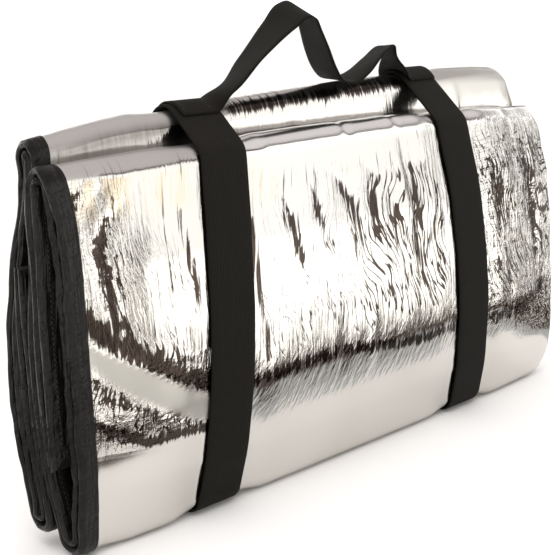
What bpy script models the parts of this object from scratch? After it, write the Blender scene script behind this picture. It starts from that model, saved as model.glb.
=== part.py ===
"""Emergency foil blanket, folded and strapped into a bundle that stands on its folds.

The sheet is doubled lengthwise, with the fold at the right end (+X), and the double layer
then runs back and forth through the bundle. Metres, +Z up, the front of the bundle faces -Y.
"""
import math

import bmesh
import bpy
import numpy as np
from mathutils import Matrix

# ---- sheet ---------------------------------------------------------------------------
THICK_EDGE = 0.0034        # padding pressed flat under the edge tape
THICK_MID = 0.0050         # padding away from the edges
LENGTH = 0.505             # bundle length from the front layer's edge to the right end
SINK = 0.0011              # how far the bottom folds are pressed flat on the surface
# ---- edge tape -----------------------------------------------------------------------
TAPE_FACE = 0.0100         # width of tape on each face
TAPE_THICK = 0.0006
TAPE_GAP = 0.0003
EDGE_CELL = 0.0120         # first cell of the sheet's grid along each bound edge
# ---- webbing -------------------------------------------------------------------------
WEB_WIDTH = 0.0380
WEB_THICK = 0.0018
WEB_GAP = 0.0005           # strap to sheet
SEWN_GAP = 0.0004          # handle to strap, where it is sewn on
HANDLE_THICK = 0.0016
HANDLE_ACROSS = 6          # steps across its width
HANDLE_STEPS = 4           # steps from one row of its table to the next
STRAPS = {"strap_left": 0.1125, "strap_right": 0.370}
# The bundle has slumped a little sideways: how far it leans along X, per metre of height,
# and how much more above LEAN_TOP.
LEAN_LEVEL = 0.125
LEAN_TOP = 0.190
LEAN = (
    # x,    lean,  more
    (0.0300,  0.00, 0.00),
    (0.1125,  0.06, 0.09),
    (0.2400, -0.01, 0.00),
    (0.3670, -0.10, 0.00),
    (0.5100, -0.08, 0.00),
)
# The left strap pulls the main crest forward over the flap, by so much, from this height on.
NOD = 0.0025
NOD_FROM = 0.2360
NOD_RISE = 0.0240
# The handle's middle line. Rows with no y and z are sewn down on the strap there, and free
# is 0. Turn swings its width away from the bundle's depth about the vertical, and tilt
# raises its back edge, both in degrees. Curl bends its width, per metre.
HANDLE = (
    # x,      y,      z,      free, turn, tilt, curl
    (0.1110, 0.0000, 0.0000, 0.00,   0.0,   0.0,  0.0),
    (0.1260, 0.0000, 0.0000, 0.00,   0.0,   0.0,  0.0),
    (0.1385, 0.0000, 0.0003, 0.00,   0.0,   0.0,  0.0),
    (0.1513, 0.0385, 0.2873, 0.90,  14.0,  -2.5, 12.0),
    (0.1785, 0.0362, 0.3070, 1.00,  12.0,  -2.8,  0.0),
    (0.2025, 0.0308, 0.3295, 1.00,   4.6,   6.6,  0.0),
    (0.2145, 0.0290, 0.3385, 1.00,   1.4,  14.3,  0.0),
    (0.2223, 0.0285, 0.3388, 1.00,   7.3,  21.1,  0.0),
    (0.2289, 0.0295, 0.3318, 1.00,  13.5,  19.5,  0.0),
    (0.2381, 0.0328, 0.3178, 1.00,   9.0,  18.9,  0.0),
    (0.2479, 0.0362, 0.3023, 1.00,   5.0,  18.8,  0.0),
    (0.2574, 0.0389, 0.2920, 1.00,   3.0,  15.5,  0.0),
    (0.2700, 0.0402, 0.2869, 1.00,  -2.4,   5.5,  0.0),
    (0.2860, 0.0406, 0.2898, 1.00,  -0.2,  -6.5,  0.0),
    (0.3000, 0.0418, 0.2962, 1.00,   3.3, -15.1,  0.0),
    (0.3150, 0.0430, 0.3042, 1.00,  14.0, -12.0,  0.0),
    (0.3283, 0.0435, 0.3088, 1.00,  27.0,  -1.0,  0.0),
    (0.3312, 0.0432, 0.3015, 1.00,  30.0,   0.5,  0.0),
    (0.3338, 0.0434, 0.2945, 0.90,  18.0,   1.0,  0.0),
    (0.3450, 0.0000, 0.0008, 0.05,   0.0,   0.0,  0.0),
    (0.3580, 0.0000, 0.0000, 0.00,   0.0,   0.0,  0.0),
    (0.3725, 0.0000, 0.0000, 0.00,   0.0,   0.0,  0.0),
)

# ---- the folded section ---------------------------------------------------------------
# The double layer's path: each row is one straight run, named by where it lies. Depth is
# the run's place between the bundle's front (0) and back (1) faces, at the bottom, in the
# middle and at the top. Bottom and top are where the run ends: a fold joins the runs there,
# or else the hem does. Edge is how far the sheet's left edge stands from X = 0, below and
# above.
RUNS = (
    # name,      up?,  depth_bottom, depth_mid, depth_top, edge_low, edge_high
    ("tucked",   True,  0.255, 0.300, 0.375, -0.0090, -0.0060),
    ("front",    False, 0.125, 0.100, 0.125,  0.0000,  0.0010),
    ("second",   True,  0.375, 0.500, 0.625, -0.0060,  0.0020),
    ("back",     False, 0.875, 0.900, 0.875, -0.0080,  0.0050),
    ("fourth",   True,  0.625, 0.700, 0.745, -0.0060, -0.0030),
)
EDGE_LEVELS = (0.100, 0.240)  # the left edge passes from one to the other between these
BACK_LIFT = 0.0110         # the back bottom fold hangs clear of the surface at its left end
BACK_LIFT_END = 0.085
HEM_TUCKED = 0.066         # height where the tucked run's hem lies
HEM_FOURTH = 0.184         # height where the fourth run's hem lies
# The bundle's front and back faces by height, at three places along it.
FACES = (
    # height, front_left, front_mid, front_right, back_left, back_mid, back_right
    (0.012, 0.0070,  0.0030, 0.0080, 0.0610, 0.0640, 0.0630),
    (0.045, 0.0040, -0.0060, 0.0030, 0.0670, 0.0705, 0.0710),
    (0.090, 0.0025, -0.0125, 0.0000, 0.0735, 0.0770, 0.0770),
    (0.145, 0.0030, -0.0140, 0.0000, 0.0775, 0.0800, 0.0780),
    (0.190, 0.0040, -0.0105, 0.0010, 0.0730, 0.0770, 0.0750),
    (0.245, 0.0075,  0.0000, 0.0080, 0.0580, 0.0640, 0.0650),
)
# Heights of the two top folds along the bundle.
CRESTS = (
    # x, flap, crest
    (0.000, 0.2525, 0.2655),
    (0.056, 0.2555, 0.2745),
    (0.125, 0.2575, 0.2790),
    (0.195, 0.2585, 0.2820),
    (0.300, 0.2585, 0.2860),
    (0.390, 0.2575, 0.2885),
    (0.455, 0.2530, 0.2870),
    (0.510, 0.2500, 0.2830),
)
CORNER_TOP = 0.058         # radius of the right end's top corner
CORNER_LOW = (0.050, 0.032)  # its bottom corner, along and up
CORNER_POWER = 3.0         # the top corner: 2 is a round one, and more is fuller
RIGHT_EDGE = (
    # height, how far the right end stands out
    (0.110,  0.0000),
    (0.160,  0.0012),
    (0.196, -0.0010),
    (0.216, -0.0034),
    (0.232,  0.0004),
    (0.262,  0.0000),
)
LEVELS = (0.034, 0.066, 0.108, 0.146, 0.184, 0.216)  # heights where every run has points
SKEW_EASE = 0.020          # how far along the path the uneven edges take to change
FOLD_STEPS = 8
TURN_STEPS = 5
# Stations along the bundle, from the sheet's left edge.
STATIONS = (0.0, EDGE_CELL, 0.040, 0.0705, 0.0915, 0.1335, 0.1545, 0.205, 0.265, 0.328,
            0.349, 0.391, 0.412, 0.434, 0.456, 0.478)
SKEW_END = 0.065           # the runs' uneven left edges even out by here
CORNER_FROM = 0.413        # the right end's round corners start here

COLORS = {
    "blanket": (0.78, 0.77, 0.76), "binding": (0.03, 0.03, 0.03),
    "strap_left": (0.02, 0.02, 0.02), "strap_right": (0.02, 0.02, 0.02),
    "handle": (0.02, 0.02, 0.02),
}


def smooth(t):
    """Ease from 0 to 1."""
    t = min(max(t, 0.0), 1.0)
    return t * t * (3.0 - 2.0 * t)


def near_strap(x):
    """1 under a strap, easing to 0 a little way off to each side."""
    off = min(abs(x - c) for c in STRAPS.values())
    return 1.0 - smooth((off - 0.021) / 0.021)


def face_depths(x, z):
    """Front and back face of the whole bundle at a place along it and a height."""
    rows = np.array(FACES)
    front_l, front_m, front_r, back_l, back_m, back_r = (
        np.interp(z, rows[:, 0], rows[:, k]) for k in range(1, 7))
    mid = smooth(x / 0.070) * (1.0 - smooth((x - 0.400) / 0.105))
    right = smooth((x - 0.250) / 0.150)
    front_end = front_l + (front_r - front_l) * right
    back_end = back_l + (back_r - back_l) * right
    pinch = 0.0016 * near_strap(x)
    return (front_end + (front_m - front_end) * mid + pinch,
            back_end + (back_m - back_end) * mid - pinch)


def nod(x, z):
    """How far the main crest is pulled forward."""
    off = abs(x - STRAPS["strap_left"])
    return NOD * (1.0 - smooth((off - 0.021) / 0.021)) * smooth((z - NOD_FROM) / NOD_RISE)


def lift(x):
    """Clear height under the sheet: a strap passes there, or the edge tape does."""
    tape = TAPE_GAP + TAPE_THICK + 0.0002
    strap = WEB_GAP + WEB_THICK + 0.0003
    return max(strap * near_strap(x), tape * (1.0 - smooth((x - 0.008) / 0.030)))


def zones(z):
    """How much a height belongs to the bottom folds, and to the top folds."""
    return 1.0 - smooth((z - 0.020) / 0.044), smooth((z - 0.186) / 0.045)


def run_depth(run, x, z):
    front, back = face_depths(x, z)
    low, high = zones(z)
    depth = run[3] + (run[2] - run[3]) * low + (run[4] - run[3]) * high
    return front + depth * (back - front)


def ply_offset(x, z):
    """Half the distance between the two plies of the double layer."""
    front, back = face_depths(x, z)
    low, high = zones(z)
    return (back - front) * (0.050 + 0.0125 * max(low, high))


def thickness(x_from_edge):
    return THICK_EDGE + (THICK_MID - THICK_EDGE) * smooth((x_from_edge - 0.012) / 0.030)


def ease_edge(low, high, z):
    bottom, top = EDGE_LEVELS
    return low + (high - low) * smooth((z - bottom) / (top - bottom))


def fold_level(x, fold, thick):
    """Height of a fold's centre of turn, so that its outside reaches the right height."""
    rows = np.array(CRESTS)
    if fold in ("front_low", "back_low"):
        level = 0.014
        a, b = (RUNS[1], RUNS[2]) if fold == "front_low" else (RUNS[3], RUNS[4])
    else:
        level = 0.245
        a, b = (RUNS[0], RUNS[1]) if fold == "flap" else (RUNS[2], RUNS[3])
    radius = abs(run_depth(a, x, level) - run_depth(b, x, level)) / 2.0
    reach = radius + ply_offset(x, level) + thick / 2.0
    if fold.endswith("_low"):
        clear = lift(x)
        if fold == "back_low":
            clear = max(clear, BACK_LIFT * (1.0 - smooth(x / BACK_LIFT_END)))
        return clear + reach - SINK * (1.0 - smooth(clear / 0.001))
    top = np.interp(x, rows[:, 0], rows[:, 1 if fold == "flap" else 2])
    return top - 0.0012 * near_strap(x) - reach


FOLDS = ("flap", "front_low", "crest", "back_low")


def section(x, thick):
    """The double layer's centre line at one place along the bundle.

    Each point is its depth, its height and where the sheet's left edge is on its run.
    """
    level = {fold: fold_level(x, fold, thick) for fold in FOLDS}
    ends = {
        "tucked": (HEM_TUCKED, level["flap"]), "front": (level["flap"], level["front_low"]),
        "second": (level["front_low"], level["crest"]),
        "back": (level["crest"], level["back_low"]), "fourth": (level["back_low"], HEM_FOURTH),
    }
    points = []
    for k, run in enumerate(RUNS):
        start, stop = ends[run[0]]
        between = set(LEVELS)
        if run[0] == "tucked":
            between.add(start + EDGE_CELL)
        if run[0] == "fourth":
            between.add(stop - EDGE_CELL)
        inside = [z for z in between if min(start, stop) < z < max(start, stop)]
        heights = [start] + sorted(inside, reverse=not run[1]) + [stop]
        low, high = run[5:7]
        pull = nod if run[0] in ("second", "back") else lambda x, z: 0.0
        points += [(run_depth(run, x, z) - pull(x, z), z, ease_edge(low, high, z))
                   for z in heights]
        if k < len(RUNS) - 1:
            y0, y1 = run_depth(run, x, stop), run_depth(RUNS[k + 1], x, stop)
            radius, mid = (y1 - y0) / 2.0, (y0 + y1) / 2.0
            side = 1.0 if run[1] else -1.0
            edge = points[-1][2]
            for n in range(1, FOLD_STEPS):
                turn = math.pi * n / FOLD_STEPS
                z = stop + side * abs(radius) * math.sin(turn)
                y = mid - radius * math.cos(turn) - (nod(x, z) if run[0] == "second" else 0.0)
                points.append((y, z, edge))
    return np.array(points)


def run_edges(line):
    """Left edge of the sheet at each point of a section, eased from run to run."""
    path = np.concatenate([[0.0], np.cumsum(np.linalg.norm(np.diff(line[:, :2], axis=0), axis=1))])
    weight = np.exp(-((path[:, None] - path[None, :]) / SKEW_EASE) ** 2) * np.gradient(path)
    return weight @ line[:, 2] / np.sum(weight, axis=1)


def right_end(y, z):
    """How far the bundle reaches to the right at a depth and a height."""
    crest = 0.252 + 0.033 * smooth((y - 0.012) / 0.020)
    over = min(max((z - crest + CORNER_TOP) / CORNER_TOP, 0.0), 1.0)
    under = min(max((CORNER_LOW[1] - z) / CORNER_LOW[1], 0.0), 1.0)
    edge = np.array(RIGHT_EDGE)
    return (LENGTH - CORNER_TOP * (1.0 - (1.0 - over ** CORNER_POWER) ** (1.0 / CORNER_POWER))
            - CORNER_LOW[0] * (1.0 - math.sqrt(1.0 - under ** 2))
            + float(np.interp(z, edge[:, 0], edge[:, 1])))


def normals(points):
    """Normals of a line of (y, z) points, lengthened at bends so that offsets stay parallel."""
    seg = np.diff(points, axis=0)
    seg /= np.linalg.norm(seg, axis=1)[:, None]
    nrm = np.stack([-seg[:, 1], seg[:, 0]], axis=1)
    both = nrm[:-1] + nrm[1:]
    both /= (1.0 + np.sum(nrm[:-1] * nrm[1:], axis=1))[:, None]
    return np.vstack([nrm[:1], both, nrm[-1:]])


def lean(points):
    """Slump the bundle sideways: X shears with height."""
    out = np.array(points, dtype=float)
    rows = np.array(LEAN)
    x, z = out[..., 0].copy(), out[..., 2]
    out[..., 0] += (np.interp(x, rows[:, 0], rows[:, 1]) * (z - LEAN_LEVEL)
                    + np.interp(x, rows[:, 0], rows[:, 2]) * np.maximum(z - LEAN_TOP, 0.0))
    return out


def sheet_grid():
    """The doubled sheet's middle surface as one grid: points, normals and thickness.

    The grid's first index runs along the back-and-forth path. Its second runs from the front
    ply's left edge to the fold at the right end and back to the other ply's left edge.
    """
    slices = np.linspace(-0.015, LENGTH, 105)
    lines = [section(x, thickness(x)) for x in slices]
    across = [normals(line[:, :2]) for line in lines]
    edges = run_edges(section(0.0, THICK_EDGE))

    def at(table, x, i):
        k = min(max((x - slices[0]) / (slices[1] - slices[0]), 0.0), len(slices) - 1.001)
        n = int(k)
        return table[n][i] + (table[n + 1][i] - table[n][i]) * (k - n)

    def cell(i, x, turn):
        y, z, _ = at(lines, x, i)
        off = ply_offset(x, z)
        nrm = at(across, x, i)
        c, s = math.cos(turn), math.sin(turn)
        return (x + off * s, y + nrm[0] * off * c, z + nrm[1] * off * c), (s, nrm[0] * c, nrm[1] * c)

    points, faces, thick = [], [], []
    for i in range(len(edges)):
        hem = min(i, len(edges) - 1 - i)
        y, z, _ = at(lines, LENGTH - 0.02, i)
        end = right_end(y, z) - ply_offset(LENGTH - 0.02, z) - THICK_MID / 2.0
        full = LENGTH - 0.006
        row = []
        for station in STATIONS:
            skew = 1.0 - smooth((station - EDGE_CELL) / (SKEW_END - EDGE_CELL))
            x = station + edges[i] * skew
            if x > CORNER_FROM:
                x = CORNER_FROM + (x - CORNER_FROM) * (end - CORNER_FROM) / (full - CORNER_FROM)
            row.append((x, 0.0, thickness(station)))
        row += [(end, math.pi * k / TURN_STEPS, THICK_MID) for k in range(TURN_STEPS + 1)]
        row += [(x, math.pi, thk) for x, _, thk in reversed(row[:len(STATIONS)])]
        placed = [cell(i, x, turn) for x, turn, _ in row]
        points.append([p for p, _ in placed])
        faces.append([n for _, n in placed])
        press = smooth((hem - 1) / 2.0)
        thick.append([THICK_EDGE + (thk - THICK_EDGE) * press for _, _, thk in row])
    return np.array(points), np.array(faces), np.array(thick)


def add_object(name, verts, quads):
    """Make one solid from points and faces, facing outward, with its own material."""
    mesh = bpy.data.meshes.new(name)
    mesh.from_pydata([tuple(v) for v in verts], [], quads)
    shell = bmesh.new()
    shell.from_mesh(mesh)
    bmesh.ops.recalc_face_normals(shell, faces=shell.faces)
    bmesh.ops.triangulate(shell, faces=shell.faces, quad_method="SHORT_EDGE")
    shell.to_mesh(mesh)
    shell.free()
    material = bpy.data.materials.new(name)
    material.use_nodes = True
    shader = material.node_tree.nodes["Principled BSDF"]
    shader.inputs["Base Color"].default_value = (*COLORS[name], 1.0)
    shader.inputs["Metallic"].default_value = 0.9 if name == "blanket" else 0.0
    shader.inputs["Roughness"].default_value = 0.3 if name == "blanket" else 0.8
    mesh.materials.append(material)
    obj = bpy.data.objects.new(name, mesh)
    bpy.context.scene.collection.objects.link(obj)
    return obj


def make_blanket(points, faces, thick):
    """Thicken the grid to both sides and press it flat where it rests."""
    rows, cols = thick.shape
    half = faces * (thick / 2.0)[..., None]
    verts = np.vstack([(points + half).reshape(-1, 3), (points - half).reshape(-1, 3)])
    verts[:, 2] = np.maximum(verts[:, 2], 0.0)
    base = rows * cols
    quads = []
    for i in range(rows - 1):
        for j in range(cols - 1):
            a, b = i * cols + j, (i + 1) * cols + j
            quads.append((a, a + 1, b + 1, b))
            quads.append((base + a, base + b, base + b + 1, base + a + 1))
    rim = ([(0, j) for j in range(cols)] + [(i, cols - 1) for i in range(1, rows)]
           + [(rows - 1, j) for j in range(cols - 2, -1, -1)]
           + [(i, 0) for i in range(rows - 2, 0, -1)])
    for (i, j), (m, n) in zip(rim, rim[1:] + rim[:1]):
        a, b = i * cols + j, m * cols + n
        quads.append((a, base + a, base + b, b))
    add_object("blanket", lean(verts), quads)
    return verts


def make_binding(points, faces):
    """One tape round all four edges of the sheet, folded over the edge, with mitred corners."""
    rows, cols, _ = points.shape
    near = THICK_EDGE / 2.0 + TAPE_GAP
    far = near + TAPE_THICK
    # The tape's section: distance in from the edge, and distance off the middle surface.
    profile = ((TAPE_FACE, far), (0.0, far), (-near * 0.55, far * 0.62), (-far * 0.60, 0.0),
               (-near * 0.55, -far * 0.62), (0.0, -far), (TAPE_FACE, -far),
               (TAPE_FACE, -near), (-TAPE_GAP, -near), (-TAPE_GAP, near), (TAPE_FACE, near))
    path = ([(i, 0) for i in range(rows)] + [(rows - 1, j) for j in range(1, cols)]
            + [(i, cols - 1) for i in range(rows - 2, -1, -1)]
            + [(0, j) for j in range(cols - 2, 0, -1)])
    verts = []
    for i, j in path:
        down = 1 if i == 0 else -1 if i == rows - 1 else 0
        side = 1 if j == 0 else -1 if j == cols - 1 else 0
        here, face = points[i, j], faces[i, j]
        along = (points[i + down, j] - here) / EDGE_CELL if down else np.zeros(3)
        inward = (points[i, j + side] - here) / EDGE_CELL if side else np.zeros(3)
        turn = (faces[i + down, j + side] - face) / EDGE_CELL
        for distance, off in profile:
            verts.append(here + (along + inward) * distance
                         + (face + turn * max(distance, 0.0)) * off)
    size, count = len(profile), len(path)
    quads = []
    for k in range(count):
        a, b = k * size, ((k + 1) % count) * size
        for m in range(size):
            n = (m + 1) % size
            quads.append((a + m, a + n, b + n, b + m))
    add_object("binding", lean(verts), quads)


def hull(points):
    """Convex outline of (y, z) points, counter-clockwise."""
    pts = sorted({(round(y, 6), round(z, 6)) for y, z in points})

    def half(seq):
        out = []
        for p in seq:
            while len(out) > 1 and ((out[-1][0] - out[-2][0]) * (p[1] - out[-2][1])
                                    <= (out[-1][1] - out[-2][1]) * (p[0] - out[-2][0])):
                out.pop()
            out.append(p)
        return out[:-1]

    return np.array(half(pts) + half(reversed(pts)))


def strap_line(verts, centre, clear):
    """A taut line round the bundle at one strap, a clear distance off, as (y, z) points."""
    under = verts[np.abs(verts[:, 0] - centre) < WEB_WIDTH / 2.0 + 0.0025]
    outline = hull(under[:, 1:])
    angles = np.linspace(0.0, 2.0 * math.pi, 96, endpoint=False)
    ways = np.stack([np.cos(angles), np.sin(angles)], axis=1)
    reach = np.max(ways @ outline.T, axis=1) + clear
    line = []
    for k in range(len(ways)):
        n = (k + 1) % len(ways)
        corner = np.linalg.solve(np.array([ways[k], ways[n]]), [reach[k], reach[n]])
        if not line or np.linalg.norm(corner - line[-1]) > 0.0012:
            line.append(corner)
    if np.linalg.norm(line[0] - line[-1]) < 0.0012:
        line.pop()
    return np.array(line)


def loop_normals(line):
    """Outward normals of a closed line of (y, z) points, lengthened at its bends."""
    seg = np.roll(line, -1, axis=0) - line
    seg /= np.linalg.norm(seg, axis=1)[:, None]
    nrm = np.stack([seg[:, 1], -seg[:, 0]], axis=1)
    both = np.roll(nrm, 1, axis=0) + nrm
    return both / (1.0 + np.sum(np.roll(nrm, 1, axis=0) * nrm, axis=1))[:, None]


def make_strap(name, verts):
    """A webbing loop drawn tight round the bundle."""
    centre = STRAPS[name]
    line = strap_line(verts, centre, WEB_GAP)
    outward = loop_normals(line)
    ring = ((-0.5, 0.0), (0.5, 0.0), (0.5, WEB_THICK), (-0.5, WEB_THICK))
    points = [(centre + share * WEB_WIDTH, y + oy * off, z + oz * off)
              for (y, z), (oy, oz) in zip(line, outward) for share, off in ring]
    count = len(line)
    quads = []
    for k in range(count):
        a, b = 4 * k, 4 * ((k + 1) % count)
        for m in range(4):
            n = (m + 1) % 4
            quads.append((a + m, a + n, b + n, b + m))
    add_object(name, lean(points), quads)
    return line, outward


def strap_top(strap, clear):
    """The strap's upper outline a clear distance off: a function of the distance from its top."""
    line, outward = strap
    over = line + outward * (WEB_THICK + clear)
    over = np.roll(over, -int(np.argmin(over[:, 1])), axis=0)
    path = np.concatenate([[0.0], np.cumsum(np.linalg.norm(np.diff(over, axis=0), axis=1))])
    top = path[int(np.argmax(over[:, 1]))]

    def at(v):
        return np.array([np.interp(top - v, path, over[:, k]) for k in (0, 1)])

    return at


def spline(rows, steps):
    """A smooth line through rows of numbers, with the same number of steps in each span."""
    rows = np.array(rows, dtype=float)
    knots = np.concatenate([[0.0], np.cumsum(np.linalg.norm(np.diff(rows[:, :3], axis=0),
                                                           axis=1))])
    slopes = np.gradient(rows, knots, axis=0)
    out = []
    for k in range(len(rows) - 1):
        span = knots[k + 1] - knots[k]
        for n in range(steps):
            t = n / steps
            out.append((2 * t ** 3 - 3 * t ** 2 + 1) * rows[k]
                       + (t ** 3 - 2 * t ** 2 + t) * span * slopes[k]
                       + (3 * t ** 2 - 2 * t ** 3) * rows[k + 1]
                       + (t ** 3 - t ** 2) * span * slopes[k + 1])
    return np.array(out + [rows[-1]])


def make_handle(left, right):
    """One webbing from strap to strap: sewn down over both, and standing up in two arches."""
    seats = [strap_top(strap, SEWN_GAP + HANDLE_THICK / 2.0)(0.0) for strap in (left, right)]
    rows = []
    for k, row in enumerate(HANDLE):
        seat = seats[0] if k < len(HANDLE) / 2 else seats[1]
        rows.append(row if row[2] > 0.1 else
                    (row[0], seat[0], seat[1] + row[2], *row[3:]))
    line = spline(rows, HANDLE_STEPS)
    steps = np.concatenate([[0.0], np.cumsum(np.linalg.norm(np.diff(line[:, :3], axis=0),
                                                           axis=1))])
    heading = np.gradient(line[:, :3], steps, axis=0)
    heading /= np.linalg.norm(heading, axis=1)[:, None]
    verts = []
    across = np.linspace(-0.5, 0.5, HANDLE_ACROSS + 1) * WEB_WIDTH
    for k, (row, along) in enumerate(zip(line, heading)):
        x, free, curl = row[0], row[3], row[6]
        turn, tilt = math.radians(row[4]), math.radians(row[5])
        strap = left if k < len(line) / 2 else right
        width = np.array([math.sin(turn) * math.cos(tilt), math.cos(turn) * math.cos(tilt),
                          math.sin(tilt)])
        upward = np.cross(along, width)
        upward /= np.linalg.norm(upward)
        for side in (-1.0, 1.0):
            sewn = strap_top(strap, SEWN_GAP + HANDLE_THICK * (1.0 + side) / 2.0)
            for v in across * -side:
                off = side * HANDLE_THICK / 2.0 - curl * v * v / 2.0
                hung = row[:3] + width * v + upward * off
                seated = np.array([x, *sewn(v)])
                ease = smooth(free)
                verts.append(seated + (hung - seated) * ease)
    size, count = 2 * len(across), len(line)
    quads = [tuple(range(size)), tuple(range((count - 1) * size, count * size))]
    for k in range(count - 1):
        for m in range(size):
            a, b = k * size + m, k * size + (m + 1) % size
            quads.append((a, b, b + size, a + size))
    add_object("handle", verts, quads)


def stand_on_origin():
    """Move everything so that the origin is the middle of the box's bottom."""
    meshes = [obj.data for obj in bpy.data.objects]
    corners = np.array([v.co for mesh in meshes for v in mesh.vertices])
    low, high = corners.min(axis=0), corners.max(axis=0)
    shift = -(low + high) / 2.0
    shift[2] = -low[2]
    for mesh in meshes:
        mesh.transform(Matrix.Translation(shift))


def main():
    for old in list(bpy.data.objects):
        bpy.data.objects.remove(old, do_unlink=True)
    points, faces, thick = sheet_grid()
    verts = make_blanket(points, faces, thick)
    make_binding(points, faces)
    straps = [make_strap(name, verts) for name in STRAPS]
    make_handle(*straps)
    stand_on_origin()


main()
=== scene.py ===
"""Look of the emergency foil blanket: a doubled, folded, crinkled foil sheet with taped
edges, held by two webbing straps with a carry handle between them."""
import math
from collections import namedtuple

import bpy
import bmesh
import numpy as np
from mathutils import Matrix, Vector


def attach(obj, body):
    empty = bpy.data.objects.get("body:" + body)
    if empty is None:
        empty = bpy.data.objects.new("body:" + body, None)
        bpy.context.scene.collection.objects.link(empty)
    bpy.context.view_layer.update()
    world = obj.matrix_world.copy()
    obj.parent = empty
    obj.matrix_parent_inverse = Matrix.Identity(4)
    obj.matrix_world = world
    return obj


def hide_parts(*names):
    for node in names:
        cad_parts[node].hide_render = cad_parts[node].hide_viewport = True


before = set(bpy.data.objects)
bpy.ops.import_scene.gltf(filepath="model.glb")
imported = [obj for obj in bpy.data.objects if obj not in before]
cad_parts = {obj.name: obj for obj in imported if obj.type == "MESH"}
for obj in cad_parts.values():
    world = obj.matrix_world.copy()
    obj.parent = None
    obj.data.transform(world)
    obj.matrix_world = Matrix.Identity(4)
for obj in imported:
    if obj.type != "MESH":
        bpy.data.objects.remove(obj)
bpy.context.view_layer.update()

# The folding below is worked out in the sheet's own place, from the front layer's left edge.
# This moves it to where the solids stand.
PLACE = np.array((-0.25073582, -0.0330075, 0.0))

# ---- sheet --------------------
THICK_EDGE = 0.0034  # padding pressed flat under the edge tape
THICK_MID = 0.0050  # padding away from the edges
LENGTH = 0.505  # bundle length from the front layer's edge to the right end
SINK = 0.0011  # how far the bottom folds are pressed flat on the surface
# ---- edge tape --------------------
TAPE_FACE = 0.0100  # width of tape on each face
TAPE_THICK = 0.0006
TAPE_GAP = 0.0003
EDGE_CELL = 0.0120  # first cell of the sheet's grid along each bound edge
# ---- webbing --------------------
WEB_WIDTH = 0.0380
WEB_THICK = 0.0018
WEB_GAP = 0.0005  # strap to sheet
SEWN_GAP = 0.0004  # handle to strap, where it is sewn on
HANDLE_THICK = 0.0016
STRAPS = {"strap_left": 0.1125, "strap_right": 0.370}
# The bundle has slumped a little sideways: how far it leans along X, per metre of height,
# and how much more above LEAN_TOP.
LEAN_LEVEL = 0.125
LEAN_TOP = 0.190
LEAN = (
    # x,    lean,  more
    (0.0300,  0.00, 0.00),
    (0.1125,  0.06, 0.09),
    (0.2400, -0.01, 0.00),
    (0.3670, -0.10, 0.00),
    (0.5100, -0.08, 0.00),
)
# The left strap pulls the main crest forward over the flap, by so much, from this height on.
NOD = 0.0025
NOD_FROM = 0.2360
NOD_RISE = 0.0240
# The handle's middle line. Rows with no y and z are sewn down on the strap there, and free
# is 0. Turn swings its width away from the bundle's depth about the vertical, and tilt
# raises its back edge, both in degrees. Curl bends its width, per metre.
HANDLE = (
    # x,      y,      z,      free, turn, tilt, curl
    (0.1110, 0.0000, 0.0000, 0.00,   0.0,   0.0,  0.0),
    (0.1260, 0.0000, 0.0000, 0.00,   0.0,   0.0,  0.0),
    (0.1385, 0.0000, 0.0003, 0.00,   0.0,   0.0,  0.0),
    (0.1513, 0.0385, 0.2873, 0.90,  14.0,  -2.5, 12.0),
    (0.1785, 0.0362, 0.3070, 1.00,  12.0,  -2.8,  0.0),
    (0.2025, 0.0308, 0.3295, 1.00,   4.6,   6.6,  0.0),
    (0.2145, 0.0290, 0.3385, 1.00,   1.4,  14.3,  0.0),
    (0.2223, 0.0285, 0.3388, 1.00,   7.3,  21.1,  0.0),
    (0.2289, 0.0295, 0.3318, 1.00,  13.5,  19.5,  0.0),
    (0.2381, 0.0328, 0.3178, 1.00,   9.0,  18.9,  0.0),
    (0.2479, 0.0362, 0.3023, 1.00,   5.0,  18.8,  0.0),
    (0.2574, 0.0389, 0.2920, 1.00,   3.0,  15.5,  0.0),
    (0.2700, 0.0402, 0.2869, 1.00,  -2.4,   5.5,  0.0),
    (0.2860, 0.0406, 0.2898, 1.00,  -0.2,  -6.5,  0.0),
    (0.3000, 0.0418, 0.2962, 1.00,   3.3, -15.1,  0.0),
    (0.3150, 0.0430, 0.3042, 1.00,  14.0, -12.0,  0.0),
    (0.3283, 0.0435, 0.3088, 1.00,  27.0,  -1.0,  0.0),
    (0.3312, 0.0432, 0.3015, 1.00,  30.0,   0.5,  0.0),
    (0.3338, 0.0434, 0.2945, 0.90,  18.0,   1.0,  0.0),
    (0.3450, 0.0000, 0.0008, 0.05,   0.0,   0.0,  0.0),
    (0.3580, 0.0000, 0.0000, 0.00,   0.0,   0.0,  0.0),
    (0.3725, 0.0000, 0.0000, 0.00,   0.0,   0.0,  0.0),
)

# ---- the folded section --------------------
Run = namedtuple("Run", "name up depth_bottom depth_mid depth_top edge_low edge_high steps")
RUNS = [Run(*row) for row in (
    # name,      up?,  depth_bottom, depth_mid, depth_top, edge_low, edge_high, steps
    ("tucked",   True,  0.255, 0.300, 0.375, -0.0090, -0.0060, 12),
    ("front",    False, 0.125, 0.100, 0.125,  0.0000,  0.0010, 78),
    ("second",   True,  0.375, 0.500, 0.625, -0.0060,  0.0020, 14),
    ("back",     False, 0.875, 0.900, 0.875, -0.0080,  0.0050, 60),
    ("fourth",   True,  0.625, 0.700, 0.745, -0.0060, -0.0030, 12),
)]
FOLDS = {"flap": 18, "front_low": 12, "crest": 20, "back_low": 12}  # steps round each
EDGE_LEVELS = (0.100, 0.240)  # a run's left edge eases from low to high between these
BACK_LIFT = 0.0110  # the back's bottom fold stands off the surface at the left end
BACK_LIFT_END = 0.085
HEM_TUCKED = 0.066  # heights of the sheet's two bound ends inside the bundle
HEM_FOURTH = 0.184
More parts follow.
